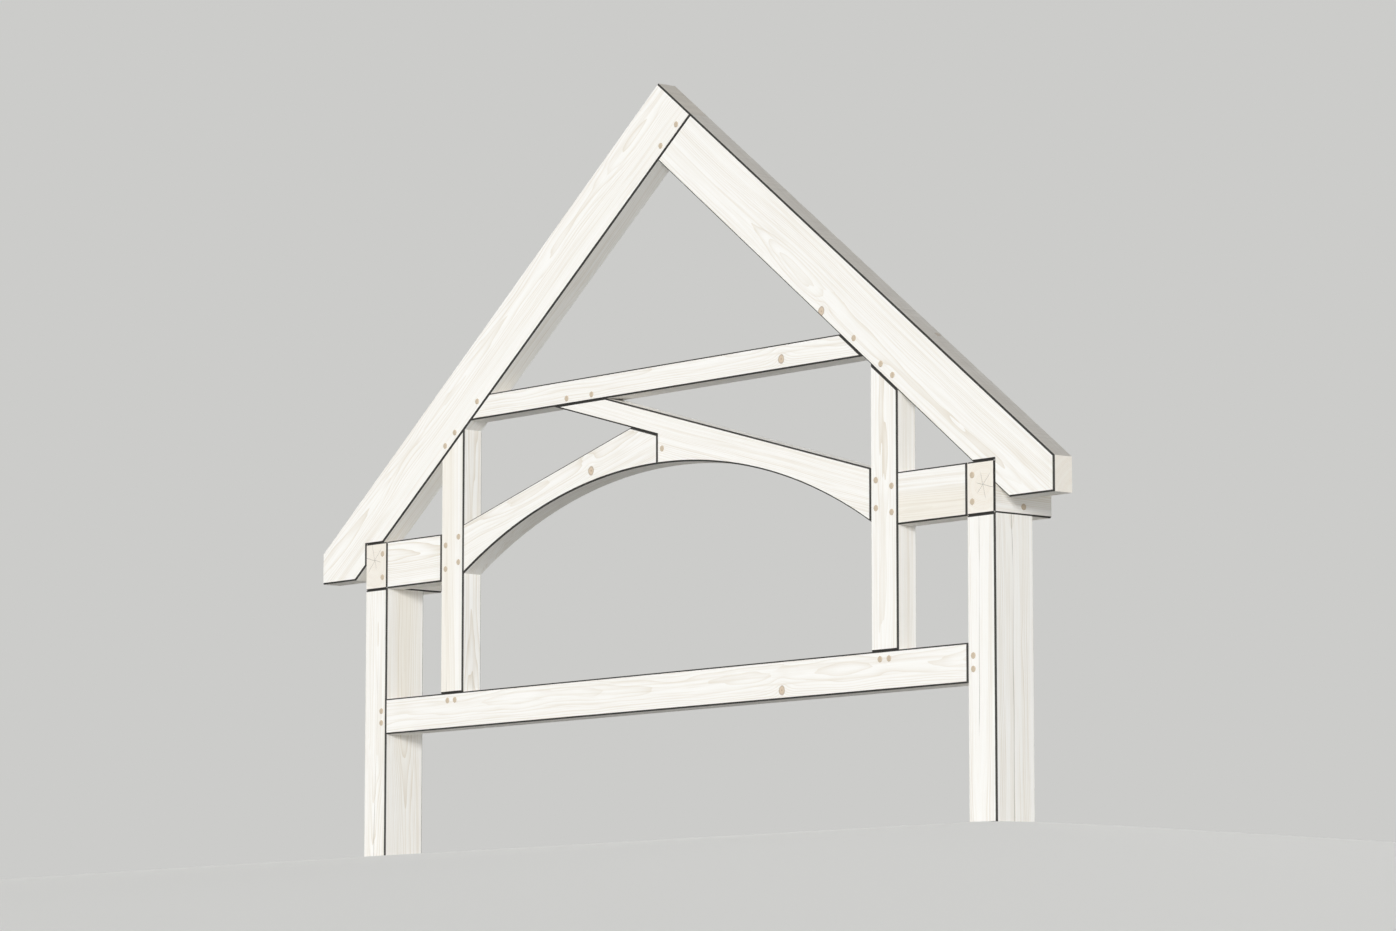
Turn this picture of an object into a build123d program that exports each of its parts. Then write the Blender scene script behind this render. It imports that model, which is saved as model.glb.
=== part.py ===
from build123d import *
import os
from math import atan, cos, radians, sin, tan

# A timber roof truss for a gable, seen from the front along +Y, with +X to the right and +Z up.
# The origin is at floor level, under the middle of the truss.

# Roof and posts
roof_pitch = 37.5           # degrees from level
wall_span = 3938.0          # over the outer faces of the two wall plates
eave_overhang = 317.0       # level distance from a plate's outer face to the rafter's tail
post_height = 1162.0        # from a corner post's foot to the plate's underside
seat_length = 120.0         # how far a rafter bears on its plate
fascia_height = 136.0       # the plumb cut at a rafter's tail

# Timber sections
frame_thickness = 101.6     # front to back, of every timber but the posts and plates
rafter_depth = 254.0        # square to the roof
collar_depth = 101.6
queen_width = 152.4
rail_depth = 152.4
post_width = 152.4
post_thickness = 203.2
plate_width = 152.4
plate_depth = 203.2         # the tie beam's too
plate_length = 304.8
arris = 6.35                # chamfer along the timbers' edges

# Places of the inner timbers
rail_height = 530.0         # underside of the cross rail above the floor
collar_drop = 948.0         # from where the rafters' undersides meet down to the collar's
queen_margin = 44.5         # level distance from the collar's lower corner out to a queen post

# Arch braces
spring_drop = 651.0         # from the collar's underside to where the arch springs
arch_rise = 347.0           # from there to the crown
brace_foot = 210.0          # height of a brace's foot on its queen post
strut_depth = 90.0          # of the stretch that runs on past the crown to the collar
strut_reach = 332.0         # how far past the middle its upper edge meets the collar

# Mortise and tenon joints
tenon_thickness = 38.1
tenon_length = 63.5
shoulder = 12.7             # from a timber's edge to the edge of its tenon
ridge_haunch = 50.8         # solid wood left between the ridge tenon and the roof
queen_web = 25.4            # wood left in a queen post between the tenons from its two sides
strut_tenon = 50.8          # length of the strut's tenon in the collar
strut_shoulder = 50.8       # from the ends of the strut's seat to its tenon
joint_gap = 0.4             # all round a tenon in its mortise
tenon_root = 6.0            # how deep a tenon starts inside its own timber

# Pegs
peg_sides = 8
peg_width = 25.4            # over the corners
peg_gap = 0.2               # between a peg and the hole that it has pressed to its own shape
peg_edge = 38.1             # from the end of a tenon to the middle of its peg
peg_proud = 3.0             # beyond the timber's face
peg_ease = 2.0              # chamfer at the ends
blind_depth = 5.0           # beyond the end of a peg, in a hole that doesn't run through

# The roof's lines
slope = tan(radians(roof_pitch))
rise_cos = cos(radians(roof_pitch))
rise_sin = sin(radians(roof_pitch))
front = -(plate_length - peg_proud) / 2
wall_x = wall_span / 2
tail_x = wall_x + eave_overhang
plate_in = wall_x - plate_width
post_in = wall_x - post_width
plate_top = post_height + plate_depth
seat_x = wall_x - seat_length
soffit_peak = plate_top + slope * seat_x
roof_peak = soffit_peak + rafter_depth / rise_cos
seam_x = (roof_peak - soffit_peak) / (2 * slope)


def roof(x):
    """Height of the rafters' upper edge at a distance x from the middle."""
    return roof_peak - slope * x


def soffit(x):
    """Height of the rafters' underside at a distance x from the middle."""
    return soffit_peak - slope * x


def soffit_x(z):
    """Distance from the middle where the rafters' underside is at height z."""
    return (soffit_peak - z) / slope


# The inner timbers' lines
collar_low = soffit_peak - collar_drop
collar_top = collar_low + collar_depth
rail_top = rail_height + rail_depth
queen_in = soffit_x(collar_low) + queen_margin
queen_out = queen_in + queen_width
spring = collar_low - spring_drop
crown = spring + arch_rise
brace_top = spring + brace_foot
edge_slope = (collar_low - brace_top) / (queen_in + strut_reach)
edge_peak = collar_low - edge_slope * strut_reach
strut_peak = edge_peak - strut_depth / cos(atan(edge_slope))
strut_end = (collar_low - strut_peak) / edge_slope


# Shapes drawn in elevation
def elevation(outline, setback, thickness):
    """A solid with an outline drawn in elevation, from a setback behind the truss's front."""
    plane = Plane(origin=(0, front + setback, 0), x_dir=(1, 0, 0), z_dir=(0, -1, 0))
    return extrude(plane * make_face(outline), amount=-thickness)


def polygon(*points):
    return Polyline(*points, close=True)


def rectangle(x0, x1, z0, z1):
    return polygon((x0, z0), (x1, z0), (x1, z1), (x0, z1))


def timber(outline, thickness=frame_thickness):
    """A timber flush with the front, eased round its front and back faces."""
    solid = elevation(outline, 0, thickness)
    faces = solid.faces().sort_by(Axis.Y)
    return chamfer(faces[0].edges() + faces[-1].edges(), arris)


def mirrored(solid):
    return mirror(solid, about=Plane.YZ)


# Rafters. Both have a birdsmouth over the plate and a tail cut level below and plumb in front.
def rafter(head):
    """A right-hand rafter, given the points of its upper end."""
    tail_z = roof(tail_x) - fascia_height
    return timber(polygon(
        *head,
        (tail_x, roof(tail_x)),
        (tail_x, tail_z),
        (soffit_x(tail_z), tail_z),
        (wall_x, soffit(wall_x)),
        (wall_x, plate_top),
        (seat_x, plate_top),
    ))


def rafter_right():
    """Its upper end butts the underside of the left rafter."""
    return rafter([(0, soffit_peak), (seam_x, roof(seam_x))])


def rafter_left():
    """Runs on to the peak, where its end is cut in line with the other slope."""
    return mirrored(rafter([(-seam_x, roof(seam_x)), (0, roof_peak)]))


# Timbers inside the rafters
def collar_tie():
    low, high = soffit_x(collar_low), soffit_x(collar_top)
    return timber(polygon((-low, collar_low), (low, collar_low), (high, collar_top), (-high, collar_top)))


def queen_post():
    foot = [(queen_in, rail_top), (queen_out, rail_top)]
    head = [(queen_out, soffit(queen_out)), (queen_in, soffit(queen_in))]
    return timber(polygon(*foot, *head))


def tie_stub():
    return timber(rectangle(queen_out, plate_in, post_height, plate_top))


def cross_rail():
    return timber(rectangle(-post_in, post_in, rail_height, rail_top))


# Arch braces
def arch_half():
    """The arch from the right queen post to the crown."""
    radius = (queen_in ** 2 + arch_rise ** 2) / (2 * arch_rise)
    half_x = queen_in / 2
    half_z = crown - radius + (radius ** 2 - half_x ** 2) ** 0.5
    return ThreePointArc((queen_in, spring), (half_x, half_z), (0, crown))


def arch_brace(upper_end):
    """A right-hand brace, given the points of its upper end above the plumb cut at the crown."""
    foot = [(queen_in, brace_top), (queen_in, spring)]
    outline = arch_half() + Polyline((0, crown), (0, strut_peak), *upper_end, *foot)
    return timber(outline.edges())


def arch_brace_right():
    """Notched at the crown for the other brace, and carried on as a strut up to the collar."""
    return arch_brace([(-strut_end, collar_low), (-strut_reach, collar_low)])


def arch_brace_left():
    """Ends in a plumb cut in the other brace's notch, under its strut."""
    meet_x = (edge_peak - strut_peak) / (2 * edge_slope)
    return mirrored(arch_brace([(meet_x, strut_peak + edge_slope * meet_x)]))


# Posts and plates
def corner_post():
    return timber(rectangle(post_in, wall_x, 0, post_height), post_thickness)


def wall_plate():
    """Runs from front to back, so its long edges are eased too."""
    plate = elevation(rectangle(plate_in, wall_x, post_height, plate_top), 0, plate_length)
    return chamfer(plate.edges(), arris)


timbers = {
    "rafter_left": rafter_left(),
    "rafter_right": rafter_right(),
    "collar_tie": collar_tie(),
    "arch_brace_left": arch_brace_left(),
    "arch_brace_right": arch_brace_right(),
    "queen_post_left": mirrored(queen_post()),
    "queen_post_right": queen_post(),
    "tie_stub_left": mirrored(tie_stub()),
    "tie_stub_right": tie_stub(),
    "cross_rail": cross_rail(),
    "corner_post_left": mirrored(corner_post()),
    "corner_post_right": corner_post(),
    "wall_plate_left": mirrored(wall_plate()),
    "wall_plate_right": wall_plate(),
}
pegs = {}


# Pegs. They and the joints are drawn on the right, and mirrored for the left.
def peg_bar(length, gap=0.0):
    """An eight-sided bar along +Y from the origin."""
    plane = Plane(origin=(0, 0, 0), x_dir=(1, 0, 0), z_dir=(0, -1, 0))
    return extrude(plane * RegularPolygon(peg_width / 2 + gap, peg_sides), amount=-length)


def pin(length):
    """A peg, eased at both ends."""
    bar = peg_bar(length)
    ends = bar.faces().sort_by(Axis.Y)
    return chamfer(ends[0].edges() + ends[-1].edges(), peg_ease)


def drive(name, place, length, through, side):
    """Cuts a peg's hole in the timbers that it runs through, and puts the peg in."""
    peg, hole = place * pin(length), place * peg_bar(length + blind_depth, peg_gap)
    if side == "left":
        peg, hole = mirrored(peg), mirrored(hole)
    for timber_name in through:
        timbers[timber_name] = timbers[timber_name] - hole
    pegs[f"peg_{name}"] = peg


# Mortise and tenon joints
def join(owner, receiver, tenon, mortise, side):
    """Adds a tenon to one timber and cuts its mortise in the other."""
    if side == "left":
        tenon, mortise = mirrored(tenon), mirrored(mortise)
    timbers[owner] = timbers[owner] + tenon
    timbers[receiver] = timbers[receiver] - mortise


def pegged_joint(name, owner, receiver, seat, into, depth, peg_count, side="right"):
    """A tenon in the middle of the frame's thickness, with a peg in its middle or near each end.

    Its seat is the line in elevation where it leaves its own timber, and into points from there
    into the other timber.
    """
    start, end = Vector(*seat[0]), Vector(*seat[1])
    root, tip = Vector(*into) * -tenon_root, Vector(*into) * depth
    outline = polygon(start + root, end + root, end + tip, start + tip)
    grown = offset(make_face(outline), amount=joint_gap, kind=Kind.INTERSECTION)
    setback = (frame_thickness - tenon_thickness) / 2
    tenon = elevation(outline, setback, tenon_thickness)
    mortise = elevation(grown.edges(), setback - joint_gap, tenon_thickness + 2 * joint_gap)
    join(owner, receiver, tenon, mortise, side)

    line = Line(start + tip * 0.5, end + tip * 0.5)
    share = peg_edge / line.length
    for number, along in enumerate([0.5] if peg_count == 1 else [share, 1 - share], 1):
        place = Pos((line @ along).X, front - peg_proud, (line @ along).Y)
        label = name if peg_count == 1 else f"{name}_{number}"
        drive(label, place, frame_thickness + 2 * peg_proud, [owner, receiver], side)


def trimmed(low, high, inset=shoulder):
    """The stretch of a shoulder that its tenon takes."""
    return (low + inset, high - inset)


def plumb_seat(x, heights):
    return [(x, z) for z in heights]


def level_seat(places, z):
    return [(x, z) for x in places]


def rafter_seat(places):
    """A seat on the right rafter's underside."""
    return [(x, soffit(x)) for x in places]


def ridge_seat(distances):
    """A seat on the left rafter's underside beyond the middle, from distances up the slope."""
    return [(along * rise_cos, soffit_peak + along * rise_sin) for along in distances]


up, down, outwards, inwards = (0, 1), (0, -1), (1, 0), (-1, 0)
into_rafter, into_left_rafter = (rise_sin, rise_cos), (-rise_sin, rise_cos)
queen_tenon = (queen_width - queen_web) / 2
tie_heights = trimmed(post_height, plate_top)
queen_places = trimmed(queen_in, queen_out)

seat = ridge_seat((shoulder, seam_x / rise_cos - ridge_haunch))
pegged_joint("ridge", "rafter_right", "rafter_left", seat, into_left_rafter, tenon_length, 2)
seat = plumb_seat(0, trimmed(crown, strut_peak))
pegged_joint("crown", "arch_brace_left", "arch_brace_right", seat, outwards, tenon_length, 1)
seat = level_seat(trimmed(-strut_end, -strut_reach, strut_shoulder), collar_low)
pegged_joint("strut", "arch_brace_right", "collar_tie", seat, up, strut_tenon, 2)

for side in ("left", "right"):
    rafter_node, queen, tie = f"rafter_{side}", f"queen_post_{side}", f"tie_stub_{side}"
    brace, post, plate = f"arch_brace_{side}", f"corner_post_{side}", f"wall_plate_{side}"
    seat = rafter_seat(trimmed(soffit_x(collar_top), soffit_x(collar_low), shoulder * rise_cos))
    pegged_joint(f"collar_{side}", "collar_tie", rafter_node, seat, into_rafter, tenon_length, 1, side)
    seat = rafter_seat(queen_places)
    pegged_joint(f"queen_top_{side}", queen, rafter_node, seat, into_rafter, tenon_length, 2, side)
    seat = level_seat(queen_places, rail_top)
    pegged_joint(f"queen_foot_{side}", queen, "cross_rail", seat, down, tenon_length, 2, side)
    seat = plumb_seat(queen_in, trimmed(spring, brace_top))
    pegged_joint(f"brace_{side}", brace, queen, seat, outwards, queen_tenon, 2, side)
    seat = plumb_seat(queen_out, tie_heights)
    pegged_joint(f"tie_inner_{side}", tie, queen, seat, inwards, queen_tenon, 2, side)
    seat = plumb_seat(plate_in, tie_heights)
    pegged_joint(f"tie_outer_{side}", tie, plate, seat, outwards, tenon_length, 2, side)
    seat = plumb_seat(post_in, trimmed(rail_height, rail_top))
    pegged_joint(f"rail_{side}", "cross_rail", post, seat, outwards, tenon_length, 2, side)

# Each corner post's own tenon stands in its plate behind the tie's, and its peg runs level
# across the plate.
post_tenon_ends = trimmed(front + frame_thickness, front + post_thickness)
post_tenon_y = sum(post_tenon_ends) / 2


def post_tenon(gap):
    """The tenon on top of the right corner post, grown by a gap all round."""
    size = (tenon_thickness, post_tenon_ends[1] - post_tenon_ends[0], tenon_length + tenon_root)
    centre = (wall_x - post_width / 2, post_tenon_y, post_height + (tenon_length - tenon_root) / 2)
    return Pos(*centre) * Box(*(length + 2 * gap for length in size))


for side in ("left", "right"):
    post, plate = f"corner_post_{side}", f"wall_plate_{side}"
    join(post, plate, post_tenon(0), post_tenon(joint_gap), side)
    place = Pos(wall_x + peg_proud, post_tenon_y, post_height + tenon_length / 2) * Rot(0, 0, 90)
    drive(f"post_{side}", place, plate_width + 2 * peg_proud, [post, plate], side)

os.makedirs("parts", exist_ok=True)
for name, solid in {**timbers, **pegs}.items():
    export_step(solid, f"parts/{name}.step")
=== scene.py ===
from math import cos, hypot, radians, sin

import bpy
from mathutils import Euler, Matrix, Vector


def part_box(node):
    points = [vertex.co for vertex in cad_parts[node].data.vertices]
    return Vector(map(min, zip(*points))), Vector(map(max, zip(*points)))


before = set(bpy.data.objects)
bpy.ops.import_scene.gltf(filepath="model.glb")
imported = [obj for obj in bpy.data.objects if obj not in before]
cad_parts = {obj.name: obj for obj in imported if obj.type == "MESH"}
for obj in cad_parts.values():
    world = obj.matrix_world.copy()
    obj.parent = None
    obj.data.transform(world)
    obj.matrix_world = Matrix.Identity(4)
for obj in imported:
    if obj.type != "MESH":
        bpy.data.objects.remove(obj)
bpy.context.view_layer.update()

# Corner posts. Two squared posts of whitewood, sawn with the heart of the tree inside them, which
# carry the wall plates. Their edges are planed off and painted near black: painted shade along the
# edges and in the grooves between timbers. As the wood dried a check opened here and there along
# the middle of a face.
sapwood = (0.94, 0.93, 0.905, 1)
heartwood = (0.89, 0.855, 0.785, 1)
late_wood = (0.70, 0.63, 0.52, 1)
end_wood = (0.88, 0.84, 0.77, 1)
knot_wood = (0.69, 0.55, 0.40, 1)
knot_rim = (0.36, 0.255, 0.17, 1)
check_shade = (0.16, 0.13, 0.10, 1)
# rough_wood_and_painted_shade: painted shade, the grey that darkens the sawn faces that look up
# the roof slopes.
rough_wood_and_painted_shade = (0.42, 0.395, 0.36, 1)
# arris_painted_shade: painted shade, a near-black colour on the planed edges for the shade along
# the edges and in the grooves between timbers.
arris_painted_shade = (0.022, 0.021, 0.019, 1)
heart_edge = (0.045, 0.0975)
check_width = 0.0012


class Value:
    """A number that changes over a surface. Arithmetic on it adds Math nodes to its finish."""

    def __init__(self, finish, socket):
        self.finish = finish
        self.socket = socket

    def math(self, operation, *others):
        values = dict(enumerate((self, *others)))
        return self.finish.node("ShaderNodeMath", {"operation": operation}, values)

    def after(self, operation, other):
        return self.finish.node("ShaderNodeMath", {"operation": operation}, {0: other, 1: self})

    def __add__(self, other):
        return self.math("ADD", other)

    __radd__ = __add__

    def __sub__(self, other):
        return self.math("SUBTRACT", other)

    def __rsub__(self, other):
        return self.after("SUBTRACT", other)

    def __mul__(self, other):
        return self.math("MULTIPLY", other)

    __rmul__ = __mul__

    def __truediv__(self, other):
        return self.math("DIVIDE", other)

    def __pow__(self, other):
        return self.math("POWER", other)

    def __abs__(self):
        return self.math("ABSOLUTE")

    def rising(self, low, high):
        """0 below low, 1 above high, with a soft step between."""
        settings = {"interpolation_type": "SMOOTHSTEP"}
        values = {"Value": self, "From Min": low, "From Max": high}
        return self.finish.node("ShaderNodeMapRange", settings, values)

    def falling(self, low, high):
        return 1 - self.rising(low, high)


class Finish:
    """The nodes of one piece's material, or of the light around the studio."""

    def __init__(self, owner):
        owner.use_nodes = True
        self.owner = owner
        self.nodes = owner.node_tree.nodes
        self.links = owner.node_tree.links

    def give(self, node, values):
        """Gives values or links to sockets of a node."""
        for name, value in values.items():
            if isinstance(value, Value):
                self.links.new(value.socket, node.inputs[name])
            else:
                node.inputs[name].default_value = value

    def node(self, kind, settings, values, *outputs):
        """A node of a kind. Its settings are made first, then its sockets' values or links."""
        made = self.nodes.new(kind)
        for name, value in settings.items():
            setattr(made, name, value)
        self.give(made, values)
        results = [Value(self, made.outputs[output]) for output in outputs or (0,)]
        return results if len(results) > 1 else results[0]

    def mixed(self, share, first, second, blend="MIX"):
        """A colour that goes from the first to the second as share goes from 0 to 1."""
        settings = {"data_type": "RGBA", "blend_type": blend}
        return self.node("ShaderNodeMix", settings, {0: share, 6: first, 7: second}, 2)

    def noise(self, x, y, z, detail=2.0):
        """A soft random number, mostly 0.3 to 0.7, that changes over about 1 in x, y and z."""
        place = self.node("ShaderNodeCombineXYZ", {}, {0: x, 1: y, 2: z})
        values = {"Vector": place, "Scale": 1.0, "Detail": detail}
        return self.node("ShaderNodeTexNoise", {}, values)

    def parts(self, place):
        return self.node("ShaderNodeSeparateXYZ", {}, {0: place}, 0, 1, 2)

    def laid(self, turn, shift=(0, 0, 0)):
        """The place of each point once a turn and a shift have laid the grain along X."""
        place = self.node("ShaderNodeTexCoord", {}, {}, "Object")
        values = {"Vector": place, "Rotation": turn, "Location": shift}
        return self.parts(self.node("ShaderNodeMapping", {}, values))

    def coat(self, piece):
        piece.data.materials.clear()
        piece.data.materials.append(self.owner)


class Log(Finish):
    """The wood of one timber, told from where its surface lies in the tree that it was sawn from.

    turn lays the timber along X, and heart is how far the middle of the tree lies from the
    timber's own middle: backwards, and across its width. A pace is how fast a pattern changes over
    a metre. A grain is a pace along the timber, one around it and, in some, the noise's detail. A
    slice picks other noise.
    """

    def __init__(self, name, turn, heart):
        place_pace = 3.7
        heart_pace = 41
        stray_slices = (0.3, 7.1)
        end_lean = (0.72, 0.78)
        fibre_grain = (6, 380, 3.0)

        super().__init__(bpy.data.materials.new(name + "_wood"))
        low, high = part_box(name)
        self.boxed_heart = abs(heart[0]) < min(high - low) / 2
        shift = Vector((0, *heart)) * -1 - turn.to_matrix() @ ((low + high) / 2)
        self.seed = shift.x * place_pace + heart[0] * heart_pace
        self.along, back, across = self.laid(turn, shift)
        self.back = back + self.stray(stray_slices[0])
        self.across = across + self.stray(stray_slices[1])
        self.radius = (self.back * self.back + self.across * self.across) ** 0.5
        self.angle = self.across.math("ARCTAN2", 0 - self.back)
        self.normal = self.node("ShaderNodeNewGeometry", {}, {}, "True Normal")
        values = {"Vector": self.normal, "Rotation": turn}
        facing = self.node("ShaderNodeMapping", {"vector_type": "VECTOR"}, values)
        end_way, back_way, across_way = self.parts(facing)
        self.end = abs(end_way).rising(*end_lean)
        self.outwards = abs(self.back * back_way + self.across * across_way) / self.radius
        self.fibre = self.grain(*fibre_grain)

    def stray(self, noise_slice):
        """The heart strays a little from side to side over the timber's length."""
        farthest = 0.055
        pace = 0.7

        return (self.noise(self.along * pace, self.seed, noise_slice) - 0.5) * farthest

    def grain(self, along, around, detail=2.0):
        """Noise that changes about so many times a metre along the timber and around it."""
        return self.noise(self.along * along, self.back * around, self.across * around, detail)

    def grow_branches(self):
        """Sets how far each point is from the nearest branch, and that branch's radius.

        Branches stand in the cells of a net wrapped round the heart. Most cells are bare, and a
        branch that runs along under a face isn't shown: there a metre is added to the distance.
        """
        spacing = 0.60
        turn_apart = 1.6
        bare = 0.80
        bare_edge = 0.01
        under_face = (0.25, 0.35)
        thinnest = 0.008
        spread = 0.009
        raggedness = 0.008
        ragged_grain = (60, 60)

        along, angle = self.along / spacing + self.seed, self.angle / turn_apart
        net = self.node("ShaderNodeCombineXYZ", {}, {0: along, 1: angle})
        settings, values = {"voronoi_dimensions": "2D"}, {"Vector": net, "Scale": 1.0}
        chance, middle = self.node("ShaderNodeTexVoronoi", settings, values, "Color", "Position")
        chance = self.parts(chance)[0]
        middle_along, middle_angle, _ = self.parts(middle)
        off_along = (along - middle_along) * spacing
        off_round = (angle - middle_angle) * turn_apart * self.radius
        distance = (off_along * off_along + off_round * off_round) ** 0.5
        distance = distance + (self.grain(*ragged_grain) - 0.5) * raggedness
        hidden = chance.falling(bare, bare + bare_edge) + self.outwards.falling(*under_face)
        self.from_branch = distance + hidden
        self.branch_radius = thinnest + chance.rising(bare, 1.0) * spread

    def grow_rings(self):
        """Sets the share of late wood: a thin dark band that ends each year's ring.

        Rings are wide at the heart and narrower further out, and bulge round the branches.
        """
        growth = 1.3
        years = 300
        waver = 0.016
        waver_grain = (1.6, 16)
        bulge = 0.014
        bulge_fade = 26
        sharpness = 3
        year_pace = 0.3
        year_slice = 0.0
        strong_years = (0.25, 0.7)

        bulged = (self.from_branch * -bulge_fade).math("EXPONENT") * bulge
        reach = self.radius + (self.grain(*waver_grain) - 0.5) * waver + bulged
        age = reach ** growth * years
        year = self.noise(age * year_pace, self.seed, year_slice)
        self.late = age.math("FRACT") ** sharpness * year.rising(*strong_years)

    def plain_wood(self):
        """White sapwood and yellower heartwood, with late wood, fibres and longer streaks."""
        edge_grain = (0.9, 9)
        edge_waver = 0.05
        fibre_range = (0.5, 0.8)
        streak_grain = (1.1, 95, 3.0)
        streak_range = (0.45, 0.75)
        late_share = 0.75
        fibre_share = 0.25
        streak_share = 0.35

        edge = self.radius + (self.grain(*edge_grain) - 0.5) * edge_waver
        colour = self.mixed(edge.falling(*heart_edge), sapwood, heartwood)
        colour = self.mixed(self.late * late_share, colour, late_wood)
        colour = self.mixed(self.fibre.rising(*fibre_range) * fibre_share, colour, late_wood)
        streak = self.grain(*streak_grain).rising(*streak_range)
        return self.mixed(streak * streak_share, colour, late_wood)

    def add_knots(self, colour):
        """Knots have fine rings and a pith of their own, and a dark line of bark round them."""
        ring_pace = 2800
        ring_waver = 4
        pith_edge = (0.1, 0.25)
        knot_edge = (0.8, 1.0)
        bark_middle = 0.97
        bark_edge = (0.05, 0.22)
        knot_share = 0.8
        ring_share = 0.4
        bark_share = 0.65
        pith_share = 0.6

        out = self.from_branch / self.branch_radius
        self.knot = out.falling(*knot_edge)
        bark = abs(out - bark_middle).falling(*bark_edge)
        ring = (self.from_branch * ring_pace + self.fibre * ring_waver).math("SINE") * 0.5 + 0.5
        pith = out.falling(*pith_edge)
        dark = ring * self.knot * ring_share + bark * bark_share + pith * pith_share
        colour = self.mixed(self.knot * knot_share, colour, knot_wood)
        return self.mixed(dark, colour, knot_rim)

    def add_checks(self, colour):
        """Checks run out both ways from a heart inside the timber, and open here and there."""
        ways = 2
        lean = 0.6
        lean_pace = 1.4
        lean_slice = 3.3
        open_pace = 0.8
        open_range = (0.55, 0.62)
        open_slice = 5
        edge = (0.5, 1.0)
        on_face = (0.35, 0.6)
        darkness = 0.8

        leaning = (self.noise(self.along * lean_pace, self.seed, lean_slice) - 0.5) * lean
        away = abs((self.angle * ways + leaning).math("SINE")) * self.radius / ways
        side = self.angle.math("SIGN") + open_slice
        open_here = self.noise(self.along * open_pace, self.seed, side).rising(*open_range)
        check = (away / check_width).falling(*edge) * self.outwards.rising(*on_face)
        self.check = check * open_here
        return self.mixed(self.check * darkness, colour, check_shade)

    def add_ends(self, colour):
        """Sawn ends are darker, and small splits run out from the heart over them."""
        ways = 3
        bend = 1.5
        bend_pace = 14
        bend_slice = 2.0
        longest = 0.16
        reach_pace = 1.3
        reach_slice = 5.0
        unsplit = 0.01
        split_edge = (0.3, 0.9)
        split_end = (0.6, 1.0)
        late_share = 0.55
        end_share = 0.8
        darkness = 0.7

        bending = self.noise(self.radius * bend_pace, self.seed, bend_slice) * bend
        bent = self.angle * ways + bending
        away = abs(bent.math("SINE")) * self.radius / ways
        reach = self.noise(self.angle * reach_pace, self.seed, reach_slice) * longest - unsplit
        split = (away / check_width).falling(*split_edge)
        self.split = split * (self.radius / reach).falling(*split_end) * self.end
        end_colour = self.mixed(self.late * late_share, end_wood, knot_wood)
        colour = self.mixed(self.end * end_share, colour, end_colour)
        return self.mixed(self.split * darkness, colour, check_shade)

    def add_saw_marks_and_shade(self, colour, way):
        """The face that looks this way is left rough from the saw, and is painted darker: painted
        shade, with the saw marks and fibres in it.
        """
        same_way = (0.95, 0.98)
        mark_pace = 230
        mark_lean = 30
        mark_detail = 3.0
        patch_pace = 2
        painted_shade_share = 0.25
        mark_share = 0.5
        fibre_share = 0.3

        values = {0: self.normal, 1: way}
        likeness = self.node("ShaderNodeVectorMath", {"operation": "DOT_PRODUCT"}, values, 1)
        shaded_rough_face = likeness.rising(*same_way)
        mark_place = self.along * mark_pace + self.across * mark_lean
        marks = self.noise(mark_place, self.seed, self.along * patch_pace, mark_detail)
        self.saw_marks = shaded_rough_face * marks
        # Painted shade: the face is darkened, more where the saw marks and fibres are.
        shade_and_marks = shaded_rough_face * (marks * mark_share + self.fibre * fibre_share + painted_shade_share)
        return self.mixed(shade_and_marks, colour, rough_wood_and_painted_shade)

    def add_arris(self, colour, axis):
        """Edges are planed off to faces that lean halfway to an axis, and are painted near black:
        painted shade along the edges and in the grooves between timbers.
        """
        least_lean = (0.55, 0.62)
        most_lean = (0.8, 0.87)
        darkness = 0.97

        leaning = abs(self.parts(self.normal)[axis])
        arris = leaning.rising(*least_lean) * leaning.falling(*most_lean)
        return self.mixed(arris * darkness, colour, arris_painted_shade)


def sawn_timber(name, turn, heart, tone=1.0, rough_and_shaded_ways=(), arris_axes=(1,)):
    """Gives a timber its wood. The faces that look in rough_and_shaded_ways are left unplaned and
    painted darker as shade.
    """
    late_height = 0.3
    fibre_height = 0.4
    knot_height = 0.3
    saw_height = 2
    check_depth = 2.5
    split_depth = 2
    relief_size = 0.0015
    relief_strength = 0.35
    shine = 0.25
    dullness = 0.64
    fibre_dullness = 0.16
    late_shine = 0.08
    end_dullness = 0.1

    log = Log(name, turn, heart)
    log.grow_branches()
    log.grow_rings()
    colour = log.add_ends(log.add_knots(log.plain_wood()))
    relief = log.late * late_height + log.fibre * fibre_height + log.knot * knot_height
    relief = relief - log.split * split_depth
    if log.boxed_heart:
        colour = log.add_checks(colour)
        relief = relief - log.check * check_depth
    colour = log.mixed(1.0, colour, (tone, tone, tone, 1), "MULTIPLY")
    # The faces that look in these ways get saw marks, and painted shade that darkens them.
    for way in rough_and_shaded_ways:
        colour = log.add_saw_marks_and_shade(colour, way)
        relief = relief + log.saw_marks * saw_height
    for axis in arris_axes:
        colour = log.add_arris(colour, axis)
    values = {"Strength": relief_strength, "Distance": relief_size, "Height": relief}
    bump = log.node("ShaderNodeBump", {}, values)
    roughness = dullness + log.fibre * fibre_dullness + log.end * end_dullness
    roughness = roughness - log.late * late_shine
    sockets = {"Base Color": colour, "Roughness": roughness, "Normal": bump}
    log.give(log.nodes["Principled BSDF"], {**sockets, "Specular IOR Level": shine})
    log.coat(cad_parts[name])


upright = Euler((0, radians(90), 0))
sawn_timber("corner_post_left", upright, (0.012, -0.008))
sawn_timber("corner_post_right", upright, (-0.009, 0.014), tone=0.985)

# Wall plates. Two short squared timbers that lie from front to back on the posts' tenons. They
# hold the heart of the tree too, and their end grain shows at the front.
lengthways = Euler((0, 0, radians(-90)))
sawn_timber("wall_plate_left", lengthways, (0.015, 0.02), tone=0.99, arris_axes=(0, 1))
sawn_timber("wall_plate_right", lengthways, (-0.012, 0.01), arris_axes=(0, 1))

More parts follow.
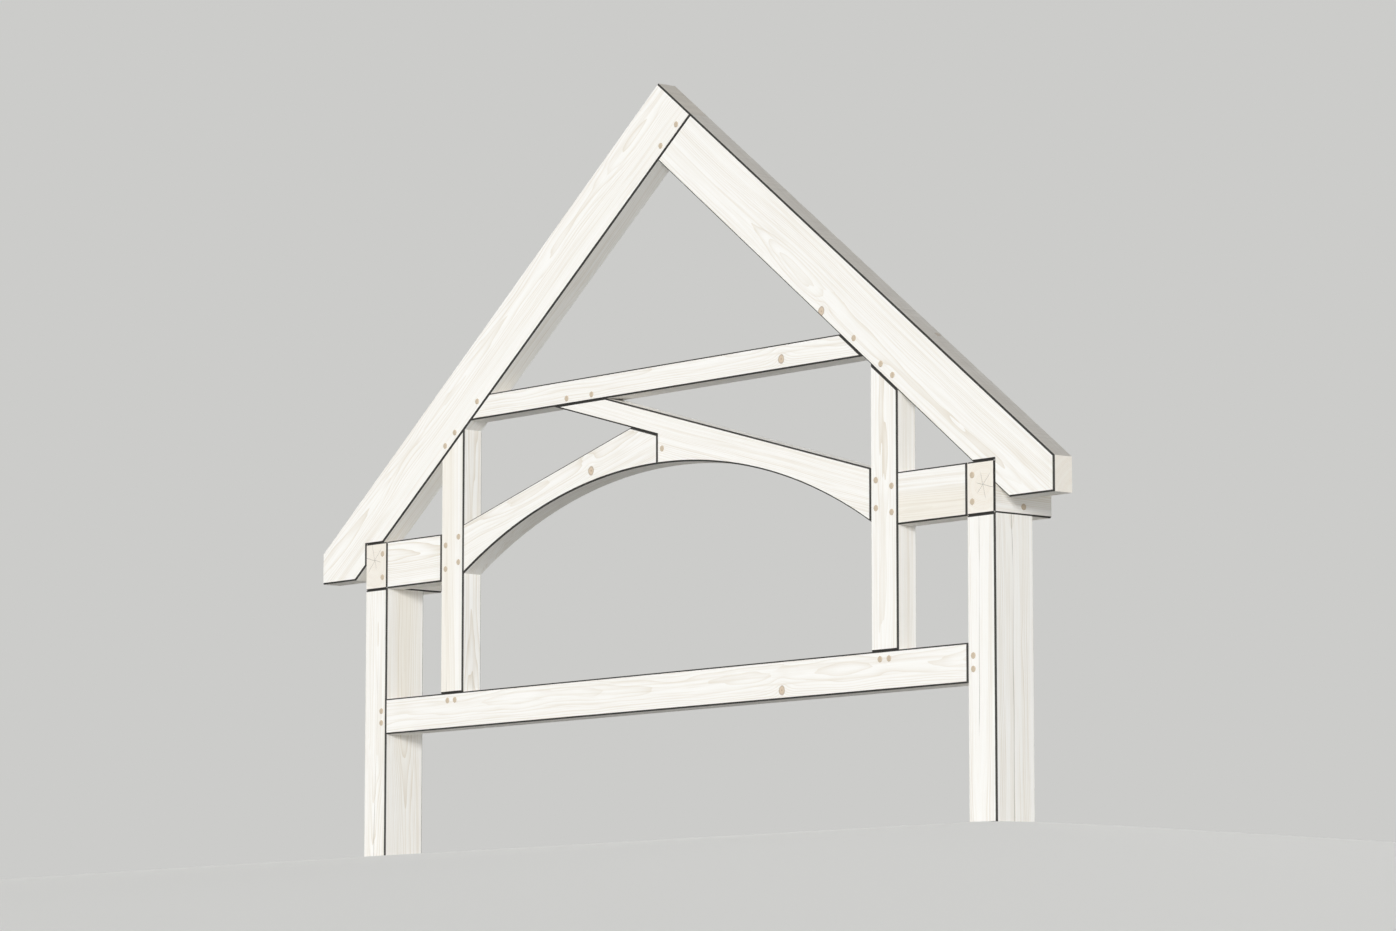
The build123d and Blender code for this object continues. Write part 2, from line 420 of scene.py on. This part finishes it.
# Cross rail. One level timber between the corner posts, tenoned into both. The queen posts stand
# on it.
level = Euler((0, 0, 0))
sawn_timber("cross_rail", level, (0.09, 0.02), tone=0.99)

# Queen posts. Two slim posts from the rail up to the rafters' undersides, with a tenon at each
# end. They frame the arch.
sawn_timber("queen_post_left", upright, (0.004, 0.022), tone=0.995)
sawn_timber("queen_post_right", upright, (0.095, 0.025))

# Tie stubs. The two ends of the tie beam, which stops at the queen posts to leave the arch open.
# Each is tenoned into its queen post and its wall plate.
sawn_timber("tie_stub_left", level, (0.085, 0.04))
sawn_timber("tie_stub_right", level, (-0.09, -0.05), tone=0.985)

# Arch braces. Two curved braces sawn out of wide boards, so their grain runs straight while their
# undersides follow the arch. The right one runs on past the middle as a strut.
brace_slope = radians(15.3)
sawn_timber("arch_brace_left", Euler((0, brace_slope, 0)), (0.09, 0.10), tone=0.985)
sawn_timber("arch_brace_right", Euler((0, -brace_slope, 0)), (0.09, -0.12))

# Collar tie. A level timber, tenoned up into the two rafters. The strut's end is tenoned and
# pegged into its underside.
sawn_timber("collar_tie", level, (0.09, 0.03), tone=0.99)

# Rafters. Two deep timbers with a birdsmouth over the plate. The right one is tenoned into the
# underside of the left one at the peak. The faces in the two slopes of the roof, and so the left
# one's end at the peak, are left as the saw cut them and painted darker as shade.
pitch = radians(37.5)
right_slope = Vector((sin(pitch), 0, cos(pitch)))
left_slope = Vector((-sin(pitch), 0, cos(pitch)))
falling_left, falling_right = Euler((0, pitch, 0)), Euler((0, -pitch, 0))
both_slopes = (left_slope, right_slope)
sawn_timber("rafter_left", falling_left, (0.095, 0.05), rough_and_shaded_ways=both_slopes)
sawn_timber("rafter_right", falling_right, (0.09, -0.06), tone=0.99, rough_and_shaded_ways=(right_slope,))

# Pegs. Eight-sided pins of riven hardwood, driven through the tenons and cut off just proud.
peg_pale = (0.66, 0.56, 0.43, 1)
peg_dark = (0.44, 0.34, 0.24, 1)


def riven_pegs(name, turn):
    """The hardwood of the pegs whose length the turn lays along X."""
    ring_width = 0.0028
    ring_lean = (0.8, 0.6)
    sharpness = 2
    bend = 0.02
    bend_grain = (4, 9)
    fibre_grain = (12, 700)
    fibre_detail = 3.0
    ring_share = 0.6
    fibre_share = 0.25
    ring_depth = 0.4
    fibre_height = 0.5
    relief_size = 0.001
    relief_strength = 0.3
    dullness = 0.45
    fibre_dullness = 0.2

    finish = Finish(bpy.data.materials.new(name))
    along, back, across = finish.laid(turn)
    bend_place = (along * bend_grain[0], back * bend_grain[1], across * bend_grain[1])
    bent = back * ring_lean[0] + across * ring_lean[1] + finish.noise(*bend_place) * bend
    ring = (bent / ring_width).math("FRACT")
    fibre_place = (along * fibre_grain[0], back * fibre_grain[1], across * fibre_grain[1])
    fibre = finish.noise(*fibre_place, fibre_detail)
    dark = ring ** sharpness * ring_share + fibre * fibre_share
    colour = finish.mixed(dark, peg_pale, peg_dark)
    relief = fibre * fibre_height - ring * ring_depth
    values = {"Strength": relief_strength, "Distance": relief_size, "Height": relief}
    bump = finish.node("ShaderNodeBump", {}, values)
    roughness = dullness + fibre * fibre_dullness
    sockets = {"Base Color": colour, "Roughness": roughness, "Normal": bump}
    finish.give(finish.nodes["Principled BSDF"], sockets)
    return finish


front_peg = riven_pegs("front_peg_wood", lengthways)
plate_peg = riven_pegs("plate_peg_wood", level)
for name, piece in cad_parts.items():
    if name.startswith("peg_"):
        finish = plate_peg if name.startswith("peg_post_") else front_peg
        finish.coat(piece)

# Floor. A pale studio floor, level under the truss and falling away gently all round it, because
# the camera stands lower than the truss's feet.
footprint = (2.05, 0.20)
corner_round = 0.18
corner_steps = 8
floor_edge = 0.01
fall = 0.085
deepest = 1.8
floor_reaches = (0.03, 0.08, 0.16, 0.3, 0.6, 20.0, 30.0, 400.0)
bpy.ops.object.select_all(action="DESELECT")
bpy.ops.mesh.primitive_plane_add(size=2, location=(0, 0, 0))
floor = bpy.context.object
floor.name = "floor"
bpy.ops.object.mode_set(mode="EDIT")
bpy.ops.mesh.select_all(action="SELECT")
bpy.ops.transform.resize(value=(*footprint, 1))
bpy.ops.mesh.bevel(offset=corner_round, segments=corner_steps, affect="VERTICES")
bpy.ops.mesh.select_mode(type="EDGE")
reach = 0.0
drop = 0.0
for next_reach in floor_reaches:
    next_drop = min(hypot(floor_edge, fall * next_reach) - floor_edge, deepest)
    growth = [(half + next_reach) / (half + reach) for half in footprint]
    bpy.ops.mesh.extrude_edges_move()
    bpy.ops.transform.resize(value=(*growth, 1), center_override=(0, 0, 0))
    bpy.ops.transform.translate(value=(0, 0, drop - next_drop))
    reach, drop = next_reach, next_drop
bpy.ops.object.mode_set(mode="OBJECT")
bpy.ops.object.shade_smooth()

floor_paint = (0.62, 0.62, 0.607, 1)
floor_glow = (0.95, 0.95, 0.929, 1)
glow_share = 0.4
floor_dullness = 0.9
finish = Finish(bpy.data.materials.new("floor_paint"))
sockets = {"Base Color": floor_paint, "Roughness": floor_dullness}
finish.give(finish.nodes["Principled BSDF"], sockets)
seen = finish.node("ShaderNodeLightPath", {}, {}, "Is Camera Ray")
glow = finish.node("ShaderNodeEmission", {}, {"Color": floor_glow})
paint = Value(finish, finish.nodes["Principled BSDF"].outputs[0])
shown = finish.node("ShaderNodeMixShader", {}, {0: seen * glow_share, 1: paint, 2: glow})
finish.give(finish.nodes["Material Output"], {"Surface": shown})
finish.coat(floor)

# Camera. It stands to the right of the truss and a little below its feet, and looks up at it.
camera_place = Vector((15.308, -13.008, -0.963))
aim = Vector((0.08, 0, 1.53))
camera = bpy.data.objects.new("camera", bpy.data.cameras.new("camera"))
bpy.context.scene.collection.objects.link(camera)
camera.location = camera_place
camera.rotation_euler = (aim - camera_place).to_track_quat("-Z", "Y").to_euler()
camera.data.sensor_width = 36
camera.data.lens = 128
camera.data.clip_end = 1000
bpy.context.scene.camera = camera

# Lamps. A soft lamp in front and to the right, and a weak wide one behind and to the left.
lamps = {
    "front_lamp": (2.19, radians(14), Vector((0.58, -0.80, 0.18))),
    "back_lamp": (0.9, radians(40), Vector((-0.50, 0.80, 0.20))),
}
for name, (energy, width, way) in lamps.items():
    lamp = bpy.data.objects.new(name, bpy.data.lights.new(name, "SUN"))
    bpy.context.scene.collection.objects.link(lamp)
    lamp.data.energy = energy
    lamp.data.angle = width
    lamp.rotation_euler = way.to_track_quat("Z", "Y").to_euler()

# Studio. Its walls are bright, its ceiling is dark, and what the camera sees and the wood mirrors
# is one plain grey.
studio_tint = (1, 1, 0.978, 1)
backdrop = 0.604
walls = 1.46
ceiling = 0.06
wall_fade = 2
studio = Finish(bpy.data.worlds.new("studio"))
bpy.context.scene.world = studio.owner
way = studio.node("ShaderNodeTexCoord", {}, {}, "Generated")
light = ceiling + (1 - abs(studio.parts(way)[2])) ** wall_fade * (walls - ceiling)
rays = ("Is Camera Ray", "Is Glossy Ray", "Is Transmission Ray")
seen, glossy, through = studio.node("ShaderNodeLightPath", {}, {}, *rays)
seen = seen.math("MAXIMUM", glossy).math("MAXIMUM", through)
strength = light + (backdrop - light) * seen
studio.give(studio.nodes["Background"], {"Color": studio_tint, "Strength": strength})

bpy.context.scene.view_settings.view_transform = "Standard"
